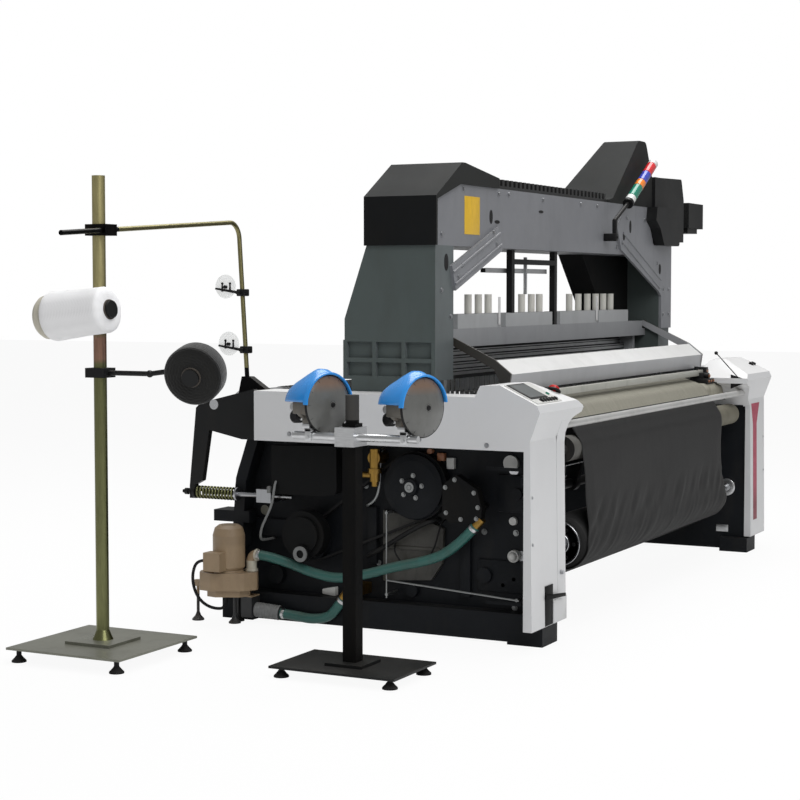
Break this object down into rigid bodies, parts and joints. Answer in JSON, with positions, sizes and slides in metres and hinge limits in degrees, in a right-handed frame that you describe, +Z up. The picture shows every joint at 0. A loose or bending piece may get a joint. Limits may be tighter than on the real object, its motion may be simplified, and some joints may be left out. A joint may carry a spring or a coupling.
{
  "type": "power loom",
  "caption": "Industrial power loom with overhead harness gantry, cloth roll, warp beam, side covers, yarn package stand and weft feeder stand.",
  "frame": {"origin": "on the floor, in the middle of the four anchor holes of the loom's feet", "axes": "+X along the weaving width, away from the yarn stands; -Y towards the cloth side, +Y towards the warp side; +Z up"},
  "size_m": [4.39, 1.6258, 2.02],
  "materials": {
    "black_paint": "satin",
    "grey_paint": "satin",
    "dark_grey_paint": "satin",
    "cover_paint": "satin",
    "bare_steel": "brushed",
    "polished_steel": "polished",
    "zinc_yellow": "satin",
    "aluminium": "satin",
    "brass": "satin",
    "cast_iron": "matte",
    "black_rubber": "matte",
    "green_hose": "satin",
    "pump_beige": "satin",
    "black_plastic": "matte",
    "white_plastic": "satin",
    "blue_plastic": "satin",
    "red_plastic": "satin",
    "box_grey": "satin",
    "white_yarn": "matte",
    "black_yarn": "matte",
    "black_cloth": "matte",
    "black_warp": "matte"
  },
  "bodies": {
    "root": {"left_side_frame": "cast_iron", "right_side_frame": "cast_iron", "cross_rails": "black_paint", "breast_beam": "bare_steel", "guard_rail": "polished_steel", "left_cover": "cover_paint", "right_cover": "cover_paint", "display_panel": "white_plastic", "left_column": "grey_paint", "right_column": "grey_paint", "overhead_beam": "grey_paint", "column_braces": "grey_paint", "left_hood": "dark_grey_paint", "dobby_guards": "dark_grey_paint", "dobby_case": "black_paint", "dobby_motor": "black_paint", "harness_posts": "black_paint", "heald_guides": "box_grey", "signal_tower": "white_plastic", "main_motor": "black_paint", "drive_belts": "black_rubber", "weft_pump": "brass", "drain_pump": "pump_beige", "pump_motor": "pump_beige", "water_hoses": "green_hose", "pump_cable": "black_rubber", "feeder_base": "black_paint", "feeder_post": "black_paint", "feeder_crossbar": "aluminium", "left_feeder": "blue_plastic", "right_feeder": "blue_plastic", "package_base": "dark_grey_paint", "package_post": "zinc_yellow", "leveling_feet": "black_rubber", "guide_tube": "bare_steel", "disc_tensioners": "aluminium", "package_holders": "black_plastic", "white_package": "white_yarn", "black_package": "black_yarn", "cloth": "black_cloth", "warp": "black_warp", "spring_rod": "bare_steel", "tension_spring": "bare_steel"},
    "main_pulley": {"main_pulley": "cast_iron"},
    "motor_pulley": {"motor_pulley": "cast_iron"},
    "warp_beam": {"warp_beam": "cast_iron", "warp_winding": "black_warp"},
    "takeup_roller": {"takeup_roller": "black_rubber"},
    "press_roller": {"press_roller": "polished_steel"},
    "cloth_roll": {"cloth_roll": "black_cloth"},
    "sley": {"sley": "black_paint", "reed": "polished_steel"},
    "heald_frame_1": {"heald_frame_1": "aluminium"},
    "heald_frame_2": {"heald_frame_2": "aluminium"},
    "heald_frame_3": {"heald_frame_3": "aluminium"},
    "heald_frame_4": {"heald_frame_4": "aluminium"},
    "tension_lever": {"tension_lever": "black_paint"},
    "back_roller": {"back_roller": "polished_steel"},
    "splash_cover": {"splash_cover": "aluminium"},
    "emergency_stop": {"emergency_stop": "red_plastic"}
  },
  "joints": [
    {"name": "pulley_spin", "type": "hinge", "parent": "root", "child": "main_pulley", "pos_m": [-1.355, -0.153, 0.562], "axis": [1, 0, 0], "continuous": true},
    {"name": "motor_spin", "type": "hinge", "parent": "root", "child": "motor_pulley", "pos_m": [-1.355, 0.288, 0.314], "axis": [1, 0, 0], "continuous": true},
    {"name": "beam_turn", "type": "hinge", "parent": "root", "child": "warp_beam", "pos_m": [0, 0.53, 0.43], "axis": [1, 0, 0], "continuous": true},
    {"name": "roll_turn", "type": "hinge", "parent": "root", "child": "cloth_roll", "pos_m": [0, -0.57, 0.318], "axis": [1, 0, 0], "continuous": true},
    {"name": "takeup_turn", "type": "hinge", "parent": "root", "child": "takeup_roller", "pos_m": [0, -0.6, 0.69], "axis": [1, 0, 0], "continuous": true},
    {"name": "press_turn", "type": "hinge", "parent": "root", "child": "press_roller", "pos_m": [0, -0.54, 0.6365], "axis": [1, 0, 0], "continuous": true},
    {"name": "sley_swing", "type": "hinge", "parent": "root", "child": "sley", "pos_m": [0, -0.25, 0.45], "axis": [1, 0, 0], "range_deg": [-3, 5]},
    {"name": "tension_swing", "type": "hinge", "parent": "root", "child": "tension_lever", "pos_m": [0, 0.46, 0.852], "axis": [1, 0, 0], "range_deg": [-4, 0], "stiffness_Nm_per_rad": 600, "springref_deg": 28.65, "deforming": ["tension_spring"]},
    {"name": "back_roller_spin", "type": "hinge", "parent": "tension_lever", "child": "back_roller", "pos_m": [0, 0.7, 0.85], "axis": [1, 0, 0], "continuous": true},
    {"name": "splash_tilt", "type": "hinge", "parent": "root", "child": "splash_cover", "pos_m": [0, -0.165, 1.141], "axis": [-1, 0, 0], "range_deg": [0, 60]},
    {"name": "heald_slide_1", "type": "slide", "parent": "root", "child": "heald_frame_1", "axis": [0, 0, 1], "range_m": [-0.035, 0.035]},
    {"name": "heald_slide_2", "type": "slide", "parent": "root", "child": "heald_frame_2", "axis": [0, 0, 1], "range_m": [-0.035, 0.035]},
    {"name": "heald_slide_3", "type": "slide", "parent": "root", "child": "heald_frame_3", "axis": [0, 0, 1], "range_m": [-0.035, 0.035]},
    {"name": "heald_slide_4", "type": "slide", "parent": "root", "child": "heald_frame_4", "axis": [0, 0, 1], "range_m": [-0.035, 0.035]},
    {"name": "stop_press", "type": "slide", "parent": "root", "child": "emergency_stop", "axis": [-0.5045, 0, -0.8634], "range_m": [0, 0.006]}
  ],
  "couplings": [
    {"joint": "motor_spin", "follows": "pulley_spin", "ratio": 2.0333},
    {"joint": "takeup_turn", "follows": "roll_turn", "ratio": 2.1},
    {"joint": "press_turn", "follows": "roll_turn", "ratio": -3.5}
  ]
}
